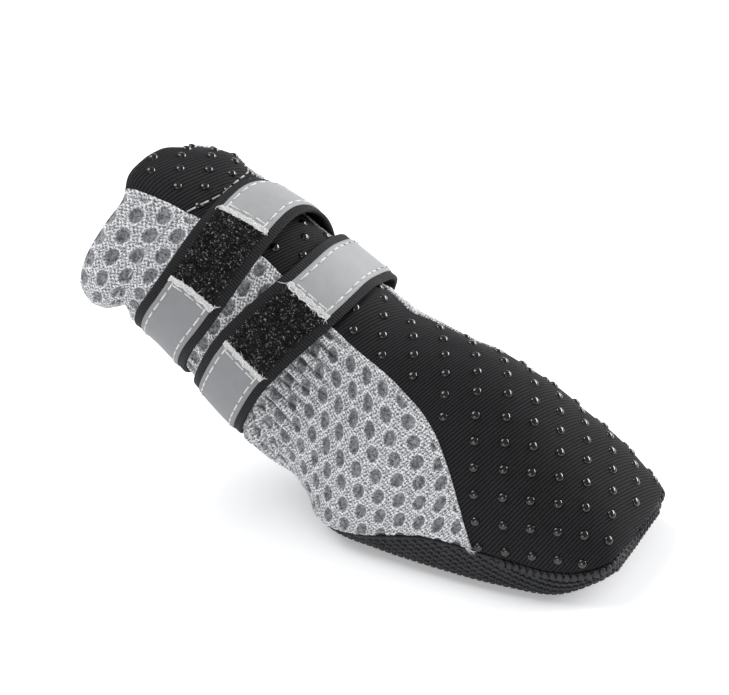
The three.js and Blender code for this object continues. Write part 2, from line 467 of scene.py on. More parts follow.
class Shade:
    def __init__(self, name, **constants):
        self.material = bpy.data.materials.new(name)
        self.material.use_nodes = True
        self.tree = self.material.node_tree
        self.shader = self.tree.nodes["Principled BSDF"]
        for socket, value in constants.items():
            self.set(socket.replace("_", " "), value)

    def set(self, socket, value):
        target = self.shader.inputs[socket]
        if isinstance(value, Value):
            self.tree.links.new(value.socket, target)
        elif isinstance(value, tuple) and len(value) == 3:
            target.default_value = (*value, 1)
        else:
            target.default_value = value

    def node(self, kind, settings=None, sockets=None, out=0):
        made = self.tree.nodes.new(kind)
        for key, value in (settings or {}).items():
            setattr(made, key, value)
        for key, value in (sockets or {}).items():
            if isinstance(value, Value):
                self.tree.links.new(value.socket, made.inputs[key])
            else:
                made.inputs[key].default_value = value
        return Value(self, made.outputs[out])

    def place(self):
        return self.node("ShaderNodeTexCoord", out="Object")

    def cloth(self, layer="cloth"):
        uv = self.node("ShaderNodeUVMap", {"uv_map": layer})
        split = self.tree.nodes.new("ShaderNodeSeparateXYZ")
        self.tree.links.new(uv.socket, split.inputs[0])
        return Value(self, split.outputs[0]), Value(self, split.outputs[1])

    def noise(self, scale, detail=2.0, rough=0.5, vector=None):
        return self.node("ShaderNodeTexNoise", {}, {
            "Vector": vector or self.place(), "Scale": scale, "Detail": detail, "Roughness": rough}, "Fac")

    def blend(self, factor, a, b):
        return self.node("ShaderNodeMix", {"data_type": "RGBA"},
                         {"Factor": factor, 6: (*a, 1) if isinstance(a, tuple) else a,
                          7: (*b, 1) if isinstance(b, tuple) else b}, 2)

    def bump(self, height, distance, strength=1.0):
        self.set("Normal", self.node("ShaderNodeBump", {}, {
            "Height": height, "Distance": distance * mm, "Strength": strength}))

    # the usual finish: two tones mixed, and relief
    def cover(self, factor, dark, pale, height, distance, strength):
        self.set("Base Color", self.blend(factor, dark, pale))
        self.bump(height, distance, strength)
        return self.material


# holes of the air mesh, in millimetres of the cloth
holes = {"columns": 5.9, "pitch": 6.4, "wide": 1.75, "tall": 2.25, "depth": 1.0}


# distance from the nearest hole's middle, 1 at its edge; works on arrays and on shader values
def holeDistance(s, w, fract, least, root):
    span, pitch = 2 * holes["columns"], holes["pitch"]
    found = None
    for shift in (0.5, 0.0):
        a = (fract(s / span + shift) - 0.5) * (span / holes["wide"])
        b = (fract(w / pitch + shift) - 0.5) * (pitch / holes["tall"])
        r = root(a * a + b * b)
        found = r if found is None else least(found, r)
    return found


def makeMeshYarn():
    m = Shade("greyAirMesh", Roughness=0.75, Sheen_Weight=0.15, Specular_IOR_Level=0.3)
    s, w = m.cloth()
    # second edge coordinate: 0 on the turned-in rim, 1 on the open face, falling to 0.5 in pleat valleys to
    # carry painted shade
    toBorder, outsideAndPleatShade = m.cloth("edge")
    wander = m.noise(420, 2)
    speck = m.noise(2100, 3, 0.75)
    lump = m.noise(900, 2, 0.6)
    r = holeDistance(s + (wander - 0.5) * 1.2, w + (lump - 0.5) * 1.2, lambda v: v.fract(),
                     lambda a, b: a.least(b), lambda v: v.power(0.5))
    ridge = r.step(0.86, 1.12)
    hem = toBorder.step(1.2, 2.4)
    ridge = 1.0 - (1.0 - ridge) * hem * outsideAndPleatShade.step(0.1, 0.4)
    # painted shade: pleat valleys on the open face are marked for darkening
    pleatShade = (1.0 - outsideAndPleatShade.step(0.5, 0.9)) * outsideAndPleatShade.step(0.1, 0.4)
    rope = (1.0 - (r - 1.22).power(2.0) * 30.0).step(0.0, 1.0)
    along = (w * 6.0 + s * 1.5 + lump * 10 + wander * 6).sine() * 0.5 + 0.5
    twist = (s * 5.4 - w * 3.0 + speck * 8 + lump * 6).sine() * 0.5 + 0.5
    thread = along * 0.4 + twist * 0.35 + rope * 0.25
    pins = ((s * 5.2 + lump * 6).sine() * (w * 5.6 + wander * 7).sine()).step(0.35, 0.7)
    bright = (thread.step(0.16, 0.62) * 0.62 + speck.step(0.4, 0.58) * 0.38) * (1.0 - pins * 0.8)
    yarn = m.blend(bright, (0.06, 0.063, 0.07), (0.95, 0.96, 0.98))
    under = m.blend(speck.step(0.36, 0.66) * 0.6 + lump.step(0.4, 0.6) * 0.4, (0.045, 0.048, 0.055),
                    (0.42, 0.43, 0.45))
    cloth = m.blend(ridge, under, yarn)
    # the dark colour blended in here is painted shade in the pleats
    return m.cover(pleatShade * 0.8, cloth, (0.035, 0.036, 0.04), thread + speck * 0.7, 0.3, 1.0)


def makeRibCloth():
    m = Shade("blackRibCloth", Roughness=0.8, Specular_IOR_Level=0.16)
    s, w = m.cloth()
    grain = m.noise(1300, 3, 0.6)
    broad = m.noise(140, 2)
    rib = ((s - w * 0.3) * (2 * math.pi / 0.98) + grain * 2.2).sine() * 0.5 + 0.5
    tone = rib.step(0.25, 0.95) * (broad * 0.6 + 0.6) * 0.75 + grain * 0.25
    return m.cover(tone, (0.0015, 0.0015, 0.002), (0.026, 0.026, 0.028), rib + grain * 0.4, 0.22, 0.9)


def makeRubberDot():
    m = Shade("glossyDot", Base_Color=(0.003, 0.003, 0.0035), Roughness=0.1, Coat_Weight=0.35,
              Coat_Roughness=0.05)
    m.bump(m.noise(700, 1), 0.12, 0.5)
    return m.material


def makeSoleRubber():
    m = Shade("soleRubber", Specular_IOR_Level=0.45)
    dust = m.noise(260, 4, 0.65)
    fine = m.noise(2600, 2)
    m.set("Roughness", dust * 0.25 + 0.4)
    return m.cover(dust.step(0.35, 0.75), (0.008, 0.008, 0.01), (0.02, 0.021, 0.024), fine, 0.05, 0.5)


def makeWebbing():
    m = Shade("blackWebbing", Roughness=0.72, Specular_IOR_Level=0.18)
    s, w = m.cloth()
    grain = m.noise(1800, 2)
    rib = (s * (2 * math.pi / 0.85) + grain * 1.2).sine() * 0.5 + 0.5
    cross = (w * (2 * math.pi / 0.6) + grain).sine() * 0.5 + 0.5
    return m.cover(rib * 0.7 + cross * 0.3, (0.0015, 0.0015, 0.002), (0.03, 0.03, 0.032),
                   rib * 0.8 + cross * 0.2, 0.25, 1.0)


def makeFuzz():
    m = Shade("blackLoopPile", Roughness=0.4, Specular_IOR_Level=0.3)
    grain = m.noise(1900, 1, 0.7)
    clump = m.noise(800, 2)
    # bright specks in patches over the black pile: painted glints, a painted highlight
    m.set("Base Color", m.blend(grain.step(0.54, 0.66) * clump.step(0.4, 0.6), (0.0015, 0.0015, 0.002),
                                (0.42, 0.42, 0.43)))
    return m.material


def makeTapeCloth(name, tone):
    m = Shade(name, Specular_IOR_Level=0.35)
    s, w = m.cloth()
    smudge = m.noise(220, 4, 0.6)
    grain = m.noise(3000, 2)
    bead = ((s * (2 * math.pi / 0.5)).sine() * (w * (2 * math.pi / 0.5)).sine()) * 0.5 + 0.5
    dim, pale = (tuple(c * share for c in tone) for share in (0.8, 1.2))
    m.set("Roughness", smudge * 0.1 + 0.6)
    return m.cover(smudge * 0.5 + grain * 0.5, dim, pale, bead * 0.6 + smudge, 0.03, 0.4)


def makeThread(name, color):
    m = Shade(name, Roughness=0.75, Sheen_Weight=0.2)
    grain = m.noise(3200, 2)
    dark = tuple(c * 0.55 for c in color)
    return m.cover(grain.step(0.3, 0.65), dark, color, grain, 0.06, 0.6)


def makeLining():
    m = Shade("darkLining", Roughness=0.9, Sheen_Weight=0.1)
    s, w = m.cloth()
    grain = m.noise(1700, 2)
    net = ((s * 6.3).sine() * (w * 6.3).sine()) * 0.5 + 0.5
    return m.cover(net * 0.6 + grain * 0.4, (0.03, 0.03, 0.033), (0.11, 0.112, 0.118),
                   net + grain * 0.5, 0.12, 0.7)


def makeInsoleCloth():
    m = Shade("insoleCloth", Roughness=0.92, Sheen_Weight=0.2)
    grain = m.noise(1500, 3)
    return m.cover(grain.step(0.3, 0.7), (0.03, 0.03, 0.034), (0.09, 0.09, 0.096), grain, 0.15, 0.7)


meshYarn, ribCloth, rubberDot = makeMeshYarn(), makeRibCloth(), makeRubberDot()
soleRubber, webbing, loopPile = makeSoleRubber(), makeWebbing(), makeFuzz()
# one tape in two tones: the back pieces get the same tape painted darker, as painted shade
frontTape = makeTapeCloth("greyReflectiveTape", (0.315, 0.32, 0.328))
backTape = makeTapeCloth("greyReflectiveTapeBack", (0.235, 0.24, 0.248))
whiteThread = makeThread("whiteThread", (0.78, 0.78, 0.77))
greyThread = makeThread("greyThread", (0.52, 0.52, 0.53))
lining, insoleCloth = makeLining(), makeInsoleCloth()
print("materials made")


# scattering small things with geometry nodes

def scatterTree(name, shape, sizes, material):
    tree = bpy.data.node_groups.new(name, "GeometryNodeTree")
    tree.interface.new_socket(name="Points", in_out="INPUT", socket_type="NodeSocketGeometry")
    for label in sizes:
        tree.interface.new_socket(name=label, in_out="INPUT", socket_type="NodeSocketFloat")
    tree.interface.new_socket(name="Geometry", in_out="OUTPUT", socket_type="NodeSocketGeometry")
    nodes, links = tree.nodes, tree.links

    def add(kind, **settings):
        made = nodes.new(kind)
        for key, value in settings.items():
            setattr(made, key, value)
        return made

    entry, leave = add("NodeGroupInput"), add("NodeGroupOutput")
    size = add("ShaderNodeCombineXYZ")
    for axis, label in zip("XYZ", sizes):
        links.new(entry.outputs[label], size.inputs[axis])
    made = add(shape["node"])
    for key, value in shape["inputs"].items():
        made.inputs[key].default_value = value
    turn = add("GeometryNodeInputNamedAttribute", data_type="FLOAT_VECTOR")
    turn.inputs["Name"].default_value = "turn"
    rotation = add("FunctionNodeEulerToRotation")
    spread = add("GeometryNodeInstanceOnPoints")
    realize, paint = add("GeometryNodeRealizeInstances"), add("GeometryNodeSetMaterial")
    shade = add("GeometryNodeSetShadeSmooth")
    shade.inputs["Shade Smooth"].default_value = shape["smooth"]
    paint.inputs["Material"].default_value = material
    links.new(turn.outputs[0], rotation.inputs[0])
    links.new(entry.outputs["Points"], spread.inputs["Points"])
    links.new(made.outputs["Mesh"], spread.inputs["Instance"])
    links.new(rotation.outputs[0], spread.inputs["Rotation"])
    links.new(size.outputs[0], spread.inputs["Scale"])
    links.new(spread.outputs[0], realize.inputs[0])
    links.new(realize.outputs[0], shade.inputs[0])
    links.new(shade.outputs[0], paint.inputs[0])
    links.new(paint.outputs[0], leave.inputs[0])
    return tree


ball = {"node": "GeometryNodeMeshUVSphere", "smooth": True,
        "inputs": {"Segments": 12, "Rings": 8, "Radius": 1.0}}
thread = {"node": "GeometryNodeMeshCylinder", "smooth": True,
          "inputs": {"Vertices": 8, "Radius": 1.0, "Depth": 2.0}}
stub = {"node": "GeometryNodeMeshCone", "smooth": False,
        "inputs": {"Vertices": 4, "Radius Top": 0.62, "Radius Bottom": 1.0, "Depth": 1.0}}


# turns x towards `along` and z towards `out`; for a thread, z runs along and x points out
def turns(along, out, lying):
    x = unit(along - out * np.sum(along * out, axis=-1, keepdims=True))
    y = np.cross(out, x)
    axes = (out, -y, x) if lying else (x, y, out)
    return np.array([Matrix(((a[0], b[0], c[0]), (a[1], b[1], c[1]), (a[2], b[2], c[2]))).to_euler()
                     for a, b, c in zip(*axes)])


def scatter(name, points, along, out, shape, sizes, material):
    points, along, out = (np.asarray(v, float).reshape(-1, 3) for v in (points, along, out))
    mesh = bpy.data.meshes.new(name)
    mesh.from_pydata([tuple(p * mm) for p in points], [], [])
    turn = mesh.attributes.new("turn", "FLOAT_VECTOR", "POINT")
    turn.data.foreach_set("vector", turns(along, out, shape is thread).astype(np.float32).ravel())
    obj = bpy.data.objects.new(name, mesh)
    bpy.context.scene.collection.objects.link(obj)
    tree = scatterTree(name + "Tree", shape, list(sizes), material)
    modifier = obj.modifiers.new("scatter", "NODES")
    modifier.node_group = tree
    for item in tree.interface.items_tree:
        if item.item_type == "SOCKET" and item.in_out == "INPUT" and item.name in sizes:
            modifier[item.identifier] = sizes[item.name] * mm
    evaluated = obj.evaluated_get(bpy.context.evaluated_depsgraph_get())
    made = bpy.data.meshes.new_from_object(evaluated)
    obj.modifiers.clear()
    obj.data = made
    return obj


# cloth of the upper

clothGap = 0.3
firstStation = 0.62
foldReach = 7.0      # height above the rubber over which folds come in, in millimetres
meshSizes = {"step": 0.52, "columns": 132, "raised": 0.42}
frontSizes = {"step": 1.0, "columns": 60, "lineAt": 110, "under": 0.05}
liningSizes = {"columns": 64, "outer": 1.1}


def evenStations(first, last, spacing, angle=math.pi):
    dense = np.linspace(first, last, 3000)
    p = formPoint(dense, angle)
    arc = arcLength(p)
    return np.interp(np.linspace(0, arc[-1], int(arc[-1] / spacing) + 2), arc, dense)


# angle where the front panel ends, in near-side angles. On the far side the mesh reaches further up
# beside the instep and less far at the collar: station, degrees
farShift = np.array([[3.5, 0], [4.3, 6], [6.8, 6], [8.3, -14], [10.3, -18]])


def border(stations, side=1):
    soft = np.clip((stations - panelTip) * 0.6, 0, 0.35)
    degrees = np.mean([np.interp(stations + soft * k, borderRows[:, 0], borderRows[:, 1])
                       for k in np.linspace(-1, 1, 9)], axis=0)
    if side < 0:
        degrees = degrees - np.interp(stations, farShift[:, 0], farShift[:, 1])
    return np.radians(degrees)


# The mesh's holes stand in staggered columns. In front of the lower strap the knit runs askew;
# up the shaft it lies square to it.
knit = {"origin": 6.05, "start": -0.54, "along": -0.149, "round": -0.0855, "alongAlong": 0.0004,
        "cross": -0.0015, "roundRound": 0.0006, "row": 3.42, "rowAlong": -0.24, "rowRound": 0.203,
        "strap": 46.0, "gather": 0.3, "shaftColumns": 5.9, "shaftPitch": 7.2}
sideStations = np.linspace(0, collar + 0.1, 2020)
sideLine = formPoint(sideStations, math.pi)
sideArc = arcLength(sideLine)


def knitPlace(stations, fromSide):
    k = knit
    x = np.interp(stations, sideStations, sideArc) - np.interp(k["origin"], sideStations, sideArc)
    w = fromSide
    column = (k["start"] + k["along"] * x + k["round"] * w + k["alongAlong"] * x * x
              + k["cross"] * x * w + k["roundRound"] * w * w)
    gather = 1 + k["gather"] * smoothStep(k["strap"] - 34, k["strap"] - 10, x) * smoothStep(-26, 6, w)
    row = k["row"] + k["rowAlong"] * x + k["rowRound"] * w * gather
    up = x > k["strap"]
    column = np.where(up, -x / k["shaftColumns"] - 0.1 * w / k["shaftPitch"], column)
    row = np.where(up, 2 * w / k["shaftPitch"], row)
    return np.stack([column * holes["columns"], row * holes["pitch"] / 2], -1)


# the turned-in rim: station, inset
lip = [(10.01, 0.3), (10.012, 0.9), (10.0, 1.5), (9.97, 1.95), (9.9, 2.1), (9.8, 2.1), (9.62, 2.1),
       (9.52, 2.05), (9.49, 1.3)]


def withLip(stations):
    t = np.concatenate([stations, [r[0] for r in lip]])
    inset = np.concatenate([np.zeros(len(stations)), [r[1] for r in lip]])
    return t, inset


# how far a point is clear of the rubber's top edge, 0 on it and 1 well above
def clearOfSeam(points, reach):
    above = points[..., 2] - np.interp(points[..., 0], seamRows[:, 0], seamRows[:, 1])
    return smoothStep(0, reach, above)


# cloth between two near-side angles, laid over the form and folded in at the collar
def clothHalf(stations, start, end, columns, side, raised, relief=None, tuckedEdge=False):
    t, inset = withLip(stations)
    extra = len(lip)
    start, end = (np.concatenate([v, np.full(extra, v[-1])]) for v in (start, end))
    angles, fromSide = spacedAngles(t, start, end, columns)
    stationGrid = np.repeat(t[:, None], columns, 1)
    insetGrid = np.repeat(inset[:, None], columns, 1)
    real = angles if side > 0 else otherSide(angles)
    base = formPoint(stationGrid + rimRise(stationGrid, real), angles)
    out = formNormal(stationGrid, angles)
    cloth = knitPlace(np.minimum(stationGrid, collar), fromSide)
    toBorder = fromSide - fromSide[:, :1]
    flat = np.ones_like(insetGrid)
    flat[len(stations):] = 0
    tucked = 1 - clearOfSeam(base, 1.6)
    push = raised * (1 - tucked) * flat - 1.3 * tucked
    push = push + softShape(np.minimum(stationGrid, collar), real) * clearOfSeam(base, foldReach)
    if relief is not None:
        push = push + relief(cloth, toBorder) * flat
    points = base + out * (push - insetGrid)[..., None]
    t = np.minimum(stationGrid, collar)
    # how deep each point lies in a pleat's valley, handed to the shader as painted shade
    below = np.clip((pleats["edge"] - t) / pleats["reach"], 0, 1)
    valleyShade = np.clip(-1.5 * pleatHeight(t, real), 0, 1) * np.where(t < pleats["edge"], (1 - below) ** 0.6, 0)
    edge = np.stack([toBorder, flat * (1 - 0.5 * valleyShade)], -1)
    if tuckedEdge:
        under = points[:, 0] - out[:, 0] * (0.9 + raised)
        points = np.concatenate([under[:, None], points], 1)
        cloth = np.concatenate([cloth[:, :1], cloth], 1)
        edge = np.concatenate([edge[:, :1], edge], 1)
    return {**grid(onSide(points, side), cloth, side < 0), "edge": edge}


def meshRelief(cloth, toBorder):
    r = holeDistance(cloth[..., 0], cloth[..., 1], lambda v: v - np.floor(v), np.minimum, np.sqrt)
    solid = np.maximum(smoothStep(0.72, 1.12, r), 1 - smoothStep(1.2, 2.6, toBorder))
    rope = 0.18 * np.exp(-((r - 1.32) / 0.26) ** 2)
    return rope - holes["depth"] * (1 - solid)


def makeMeshPanel():
    stations = evenStations(panelTip, collar, meshSizes["step"])
    end = seamAngle(stations, -clothGap)
    halves = [clothHalf(stations, np.minimum(border(stations, side), end), end, meshSizes["columns"],
                        side, meshSizes["raised"], meshRelief, True) for side in (1, -1)]
    return gridsObject("mesh_panel", halves, meshYarn)


def makeFrontPanel():
    columns = frontSizes["columns"]
    stations = np.concatenate([np.linspace(firstStation, 1.2, 24)[:-1],
                               evenStations(1.2, collar, frontSizes["step"])])
    seam = seamAngle(stations, -clothGap)
    start = np.full_like(seam, math.pi / 2)
    halves = []
    for side in (1, -1):
        panelEnd = border(stations, side) + frontSizes["under"]
        end = np.where(stations < panelTip, seam, np.minimum(panelEnd, seam))
        half = clothHalf(stations, start, end, columns, side, 0.0)
        # the dots and ribs follow the distance up the front and round it
        t, inset = withLip(stations)
        upFront = arcLength(formPoint(t, math.radians(frontSizes["lineAt"])))
        endAll = np.concatenate([end, np.full(len(lip), end[-1])])
        angles, _ = spacedAngles(t, np.full_like(endAll, math.pi / 2), endAll, columns)
        around = np.array([arcLength(row) for row in formPoint(np.repeat(t[:, None], columns, 1), angles)])
        half["cloth"] = np.stack([np.repeat(upFront[:, None], columns, 1), around * side], -1)
        halves.append(half)
    return gridsObject("front_panel", halves, ribCloth)


def makeLiningShell():
    stations = joined((firstStation, 1.2, 12), (1.2, 6.5, 60), (6.5, 9.985, 130))
    end = seamAngle(stations, clothGap)
    start = np.full_like(end, math.pi / 2)
    grids = []
    angles, fromSide = spacedAngles(stations, start, end, liningSizes["columns"])
    t = np.repeat(stations[:, None], liningSizes["columns"], 1)
    out = formNormal(t, angles)
    cloth = np.stack([t * 20, fromSide], -1)
    overSole = slice(0, np.count_nonzero(end < denseAngles[-1] - 1e-6) + 1)
    for side in (1, -1):
        real = angles if side > 0 else otherSide(angles)
        risen = t + rimRise(t, real)
        outer, inner = formPoint(risen, angles, liningSizes["outer"]), formPoint(risen, angles, wall)
        shift = out * (softShape(t, real) * clearOfSeam(outer, foldReach))[..., None]
        grids += shellGrids(onSide(outer + shift, side), onSide(inner + shift, side), cloth, side < 0,
                            "first last right", overSole)
    return gridsObject("lining", grids, lining)


upperPieces = [makeMeshPanel(), makeFrontPanel(), makeLiningShell()]
print("cloth laid")


# sole

soleSizes = {"wall": 2.2, "floor": 3.0, "last": 6.75, "columns": 44}
lugs = {"high": 0.55, "pitch": 2.0, "long": 1.05, "wide": 0.72}
beads = {"pitch": 2.05, "long": 0.98, "wide": 1.35, "high": 0.7, "sunk": 0.25}
insoleSizes = {"inset": 2.6, "low": 3.35, "top": 5.2, "least": 0.3, "crown": 0.5, "columns": 30}


def makeSole():
    stations = joined((0, 1.2, 16), (1.2, 5.4, 60), (5.4, soleSizes["last"], 90))
    end = seamAngle(stations, 0.0)
    keep = end < denseAngles[-1] - 1e-6
    stations, end = stations[keep], end[keep]
    columns = soleSizes["columns"]
    angles, _ = spacedAngles(stations, end, np.full_like(end, denseAngles[-1]), columns)
    t = np.repeat(stations[:, None], columns, 1)
    outer = formPoint(t, angles, lugs["high"])
    inner = formPoint(t, angles, soleSizes["wall"], soleSizes["floor"] + 0 * t)
    seamHeight = np.interp(outer[:, 0, 0], seamRows[:, 0], seamRows[:, 1])
    inner[:, 0, 2] = np.where(stations > 0.7, seamHeight, inner[:, 0, 2])
    # each closes at the nose in one point on the middle line
    outer, inner = (np.concatenate([np.repeat(onSide(v[:1].mean(axis=1, keepdims=True), 0), columns, 1), v])
                    for v in (outer, inner))
    return gridsObject("sole_body", shellHalves(outer, inner, outer[..., :2], "left last"), soleRubber)


# small staggered blocks over the rubber's side walls and underside
def makeLugs():
    pitch = lugs["pitch"]
    stations = evenStations(0.12, 6.5, pitch)
    ends = seamAngle(stations, -0.5)
    points, along, out = [], [], []
    for row, (station, end) in enumerate(zip(stations, ends)):
        if end >= denseAngles[-1] - 0.02:
            continue
        p = formPoint(station, denseAngles)
        arc = arcLength(p)
        first = np.interp(end, denseAngles, arc)
        at = np.arange(arc[-1] - (row % 2) * pitch / 2, first, -pitch)
        angle = np.interp(at, arc, denseAngles)
        for a in angle:
            q = formPoint(station, a, lugs["high"])
            n = formNormal(station, np.array(a))
            d = formPoint(station + 0.02, a) - formPoint(station - 0.02, a)
            for side in (1, -1):
                if side < 0 and abs(q[1]) < 0.4:
                    continue
                points.append(onSide(q, side))
                along.append(onSide(d, side))
                out.append(onSide(n, side))
    return scatter("sole_lugs", points, along, out, stub,
                   {"Length": lugs["long"], "Width": lugs["wide"], "Height": lugs["high"] - 0.02}, soleRubber)


# rounded ribs round the top edge of the rubber at the toe
def makeBeads():
    stations = np.linspace(3.0, 0.66, 200)
    angles = seamAngle(stations, -0.9)
    path, outPath = (np.concatenate([v, onSide(v[::-1], -1)])
                     for v in (formPoint(stations, angles, -0.05), formNormal(stations, angles)))
    arc = arcLength(path)
    at = np.linspace(0, arc[-1], int(arc[-1] / beads["pitch"]))
    p = readOff(at, arc, path)
    n = unit(readOff(at, arc, outPath))
    d = np.gradient(p, axis=0)
    return scatter("toe_beads", p - n * beads["sunk"], d, n, ball,
                   {"Length": beads["long"], "Width": beads["wide"], "Height": beads["high"]}, soleRubber)


def makeInsole():
    stations = np.linspace(0.6, 6.4, 70)
    inset, low, top, least, crown, columns = insoleSizes.values()
    ends = []
    for t in stations:
        p = formPoint(t, denseAngles, inset, np.full_like(denseAngles, low))
        over = np.nonzero(p[:, 2] > top)[0]
        ends.append(denseAngles[over[-1]] if len(over) else denseAngles[0])
    ends = np.array(ends)
    keep = ends < denseAngles[-1] - 0.01
    stations, ends = stations[keep], ends[keep]
    angles, _ = spacedAngles(stations, ends, np.full_like(ends, denseAngles[-1]), columns)
    t = np.repeat(stations[:, None], columns, 1)
    bottom = formPoint(t, angles, inset, low + 0 * t)
    bottom[..., 2] = np.minimum(bottom[..., 2], top)
    edge = smoothStep(0, 5, np.abs(bottom[:, :1, 1]) - np.abs(bottom[..., 1]))
    upper = bottom.copy()
    upper[..., 2] = np.maximum(bottom[..., 2] + least, top - crown * (1 - edge))
    return gridsObject("insole_pad", shellHalves(bottom, upper, bottom[..., :2], "first last left"),
                       insoleCloth)


solePieces = [makeSole(), makeLugs(), makeBeads()]
insolePiece = makeInsole()
print("sole made")


# straps, tapes and stitches

tape = {"width": 15.0, "from": 2.6, "thick": 0.35, "frontStart": 4.0, "backEnd": 354.0}
tapeEnds = {
    "strap_lower": {"front": 118.0, "back": 164.0},
    "strap_upper": {"front": 107.0, "back": 156.0},
}
tapeLow = strapSizes["thickness"] - 0.25
tapeHigh = tapeLow + tape["thick"] + 0.15
stitch = {"length": 3.3, "gap": 1.1, "thick": 0.24, "fromEdge": 1.5, "fromEnd": 2.2}
pile = {"count": 3000, "reach": 0.5, "thick": 0.11, "from": 3.0, "to": 17.6}
pileLoop = [(-0.5, -0.1), (-0.42, 0.6), (0.0, 1.0), (0.42, 0.6), (0.5, -0.1)]     # sideways, outward
# the worn white edge at a cut end of tape, and its frayed fibres
fray = {"count": 60, "edge": 1.2, "looseShare": 0.86, "short": (0.3, 0.8), "long": (0.9, 2.8),
        "thin": (0.05, 0.12), "cutThreads": 7, "thick": (0.2, 0.32)}


# outer face, inner face and places in the cloth of a band with its edges rounded off by `soft`
def ribbonGrids(place, degrees, across, low, high, soft):
    inner, _ = strapPoints(place, degrees, across, low)
    outer, n = strapPoints(place, degrees, across, high)
    edge = np.minimum(across - across[0], across[-1] - across)
    sink = soft * (1 - np.sqrt(1 - (1 - np.clip(edge / soft, 0, 1)) ** 2))
    outer = outer - n * sink[None, :, None]
    inner = inner + n * (sink * 0.6)[None, :, None]
    arc = arcLength(outer[:, len(across) // 2])
    return outer, inner, np.stack(np.meshgrid(arc, across, indexing="ij"), -1)


def makeWebbingStrap(name, node):
    place = strapPlaces[node]
    degrees = np.arange(strapSizes["start"], strapSizes["end"] + 0.1, 2.0)
    width = strapSizes["width"]
    across = joined((0, 1.0, 6), (1.0, width - 1, 24), (width - 1, width, 6))
    shell = ribbonGrids(place, degrees, across, 0.0, strapSizes["thickness"] - 0.1, 0.6)
    return gridsObject(name, shellGrids(*shell), webbing)


def makeTape(name, node, start, end, material):
    place = strapPlaces[node]
    degrees = np.linspace(start, end, int(abs(end - start) / 1.5) + 2)
    across = np.linspace(tape["from"], tape["from"] + tape["width"], 31)
    shell = ribbonGrids(place, degrees, across, tapeLow, tapeHigh, 0.2)
    return gridsObject(name, shellGrids(*shell), material)


# running stitches along a tape's two edges and across its cut end
def strapStitches(name, node, start, end, cutEnd, way):
    place = strapPlaces[node]
    long, gap = stitch["length"], stitch["gap"]
    low, high = tape["from"] + stitch["fromEdge"], tape["from"] + tape["width"] - stitch["fromEdge"]
    steps = np.arange(low + long / 2, high, long + gap * 0.8)
    inward = cutEnd - way * stitch["fromEnd"] / degreeLength
    q, m = strapPoints(place, [inward], steps, tapeHigh)
    ahead, _ = strapPoints(place, [inward], steps + 0.5, tapeHigh)
    points, along, out = [q[0]], [ahead[0] - q[0]], [m[0]]
    for across in (low, high):
        p, n = strapPoints(place, np.linspace(start, end, 400), np.array([across]), tapeHigh)
        p, n = p[:, 0], n[:, 0]
        arc = arcLength(p)
        at = np.arange(long * 0.7, arc[-1] - long * 0.5, long + gap)
        q = readOff(at, arc, p)
        points.append(q)
        along.append(readOff(at + 0.5, arc, p) - q)
        out.append(unit(readOff(at, arc, n)))
    return scatter(name, np.concatenate(points), np.concatenate(along), np.concatenate(out), thread,
                   {"Height": stitch["thick"], "Width": stitch["thick"], "Length": long / 2}, whiteThread)


# strands: tubes with three sides along short paths
def strands(name, paths, radius, material, sides=3, taper=True):
    points, faces, count = [], [], 0
    for path, r in zip(paths, radius):
        path = np.asarray(path)
        steps = len(path)
        d = unit(np.gradient(path, axis=0))
        side = unit(np.cross(d, np.array([0.31, 0.52, 0.79])))
        other = np.cross(d, side)
        for i in range(steps):
            wide = r * (0.35 if taper and i == steps - 1 else 1.0)
            for k in range(sides):
                a = 2 * math.pi * k / sides
                points.append(path[i] + (side[i] * math.cos(a) + other[i] * math.sin(a)) * wide)
        for i in range(steps - 1):
            for k in range(sides):
                a, b = count + i * sides + k, count + i * sides + (k + 1) % sides
                faces.append((a, b, b + sides, a + sides))
        count += steps * sides
    points = np.array(points) * mm
    mesh = bpy.data.meshes.new(name)
    caps = []
    start = 0
    for path in paths:
        caps.append(tuple(start + k for k in reversed(range(sides))))
        caps.append(tuple(start + (len(path) - 1) * sides + k for k in range(sides)))
        start += len(path) * sides
    mesh.from_pydata([tuple(p) for p in points], [], faces + caps)
    mesh.polygons.foreach_set("use_smooth", np.full(len(mesh.polygons), True))
    mesh.materials.append(material)
    mesh.update()
    obj = bpy.data.objects.new(name, mesh)
    bpy.context.scene.collection.objects.link(obj)
    return obj


def makePile(name, node, start, end, seed):
    place = strapPlaces[node]
    random = np.random.default_rng(seed)
    degrees = np.linspace(start, end, 60)
    across = np.linspace(pile["from"], pile["to"], 40)
    p, n = strapPoints(place, degrees, across, strapSizes["thickness"] - 0.2)
    paths, radius = [], []
    for k in range(pile["count"]):
        i, j = random.uniform(0, len(degrees) - 1.01), random.uniform(0, len(across) - 1.01)
        a, b = int(i), int(j)
        f, g = i - a, j - b
        spot = (p[a, b] * (1 - f) * (1 - g) + p[a + 1, b] * f * (1 - g) + p[a, b + 1] * (1 - f) * g
                + p[a + 1, b + 1] * f * g)
        out = n[a, b]
        lean = random.normal(size=3)
        lean = unit(lean - out * np.dot(lean, out))
        high = pile["reach"] * random.uniform(0.5, 1.15)
        wide = random.uniform(0.5, 1.1)
        paths.append([spot + lean * (c * wide) + out * (h * high) for c, h in pileLoop])
        radius.append(pile["thick"] * random.uniform(0.7, 1.2))
    return strands(name, paths, radius, loopPile, taper=False)


